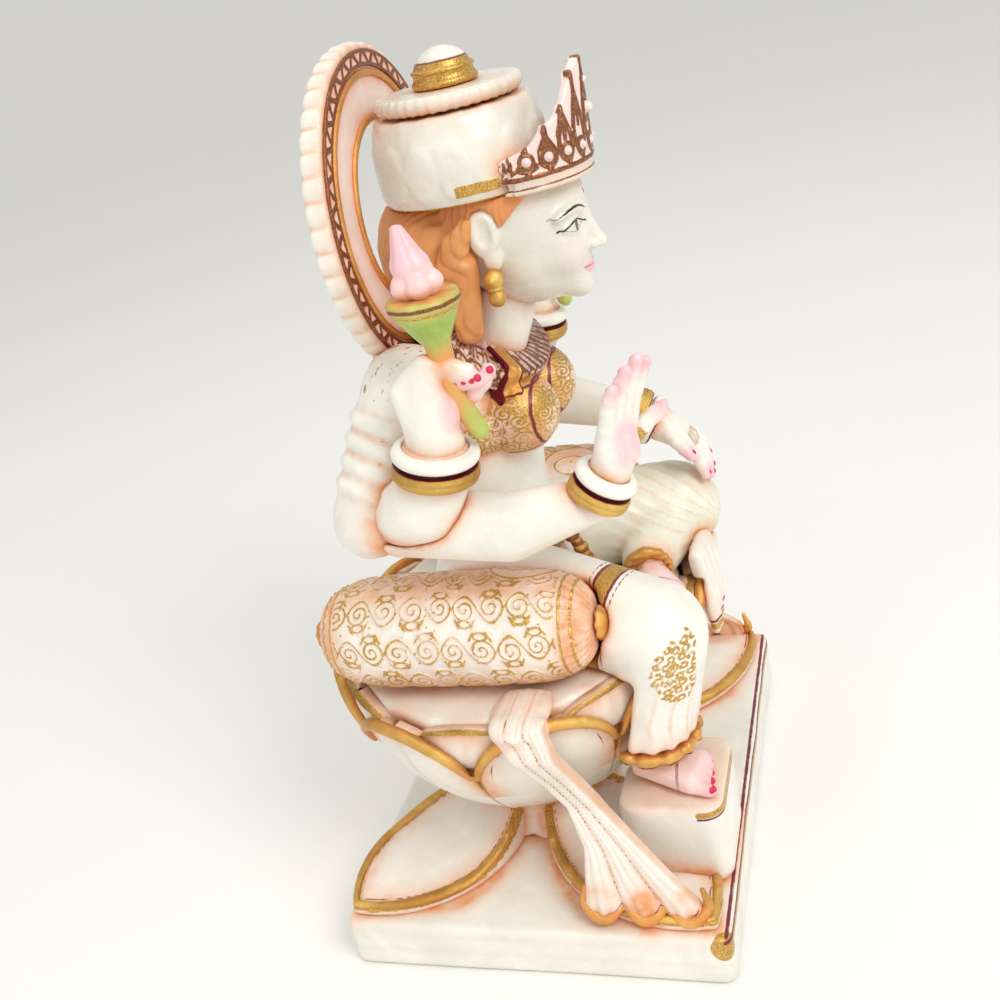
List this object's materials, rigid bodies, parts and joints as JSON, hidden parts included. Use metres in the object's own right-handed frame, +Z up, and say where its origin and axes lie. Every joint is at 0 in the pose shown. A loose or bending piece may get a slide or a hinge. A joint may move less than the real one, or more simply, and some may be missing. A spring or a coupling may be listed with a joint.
{
  "type": "hindu deity statue",
  "caption": "Seated four-armed goddess statue on a lotus throne with halo, bolsters and a flat plinth, painted white marble.",
  "frame": {"origin": "centre of the plinth's flat underside", "axes": "+Z is up; the figure faces -Y; its own right side is -X"},
  "size_m": [0.1812, 0.1458, 0.302],
  "materials": {
    "marble": "polished",
    "pearl": "polished, pearly lacquer",
    "gold": "gold leaf paint on marble",
    "copper": "copper-gold paint on marble",
    "pink": "pink-tinted marble",
    "green": "green paint on marble",
    "amber": "orange-brown wash on marble"
  },
  "bodies": {
    "root": {"plinth": "marble", "lotus_neck": "marble", "ground_petals": "marble", "ground_petal_rims": "gold", "lotus_pod": "marble", "inner_petals": "marble", "outer_petals": "marble", "outer_petal_rims": "gold", "foot_rest": "marble", "right_bolster": "amber", "left_bolster": "amber", "bolster_buttons": "gold", "right_sash": "marble", "left_sash": "marble", "sash_hems": "gold", "hips": "marble", "right_leg": "marble", "right_leg_hem": "gold", "left_leg": "marble", "left_drape": "marble", "right_foot": "pink", "left_foot": "pink", "anklets": "gold", "torso": "marble", "blouse": "gold", "belt": "gold", "tassel": "copper", "necklace": "copper", "shoulder_strap": "gold", "right_sleeve": "marble", "left_sleeve": "marble", "right_front_forearm": "marble", "right_back_forearm": "marble", "left_front_forearm": "marble", "left_back_forearm": "marble", "right_front_hand": "pink", "right_back_hand": "pink", "left_front_hand": "pink", "left_back_hand": "pink", "gold_bracelets": "gold", "white_bangles": "marble", "right_lotus_stem": "green", "left_lotus_stem": "green", "right_lotus_bud": "pink", "left_lotus_bud": "pink", "head": "pearl", "hair": "amber", "earrings": "gold", "crown_drum": "pearl", "crown_rim": "pearl", "crown_knob": "gold", "tiara": "copper", "halo": "marble", "halo_zigzag": "copper", "halo_gold_rings": "gold"}
  },
  "joints": []
}
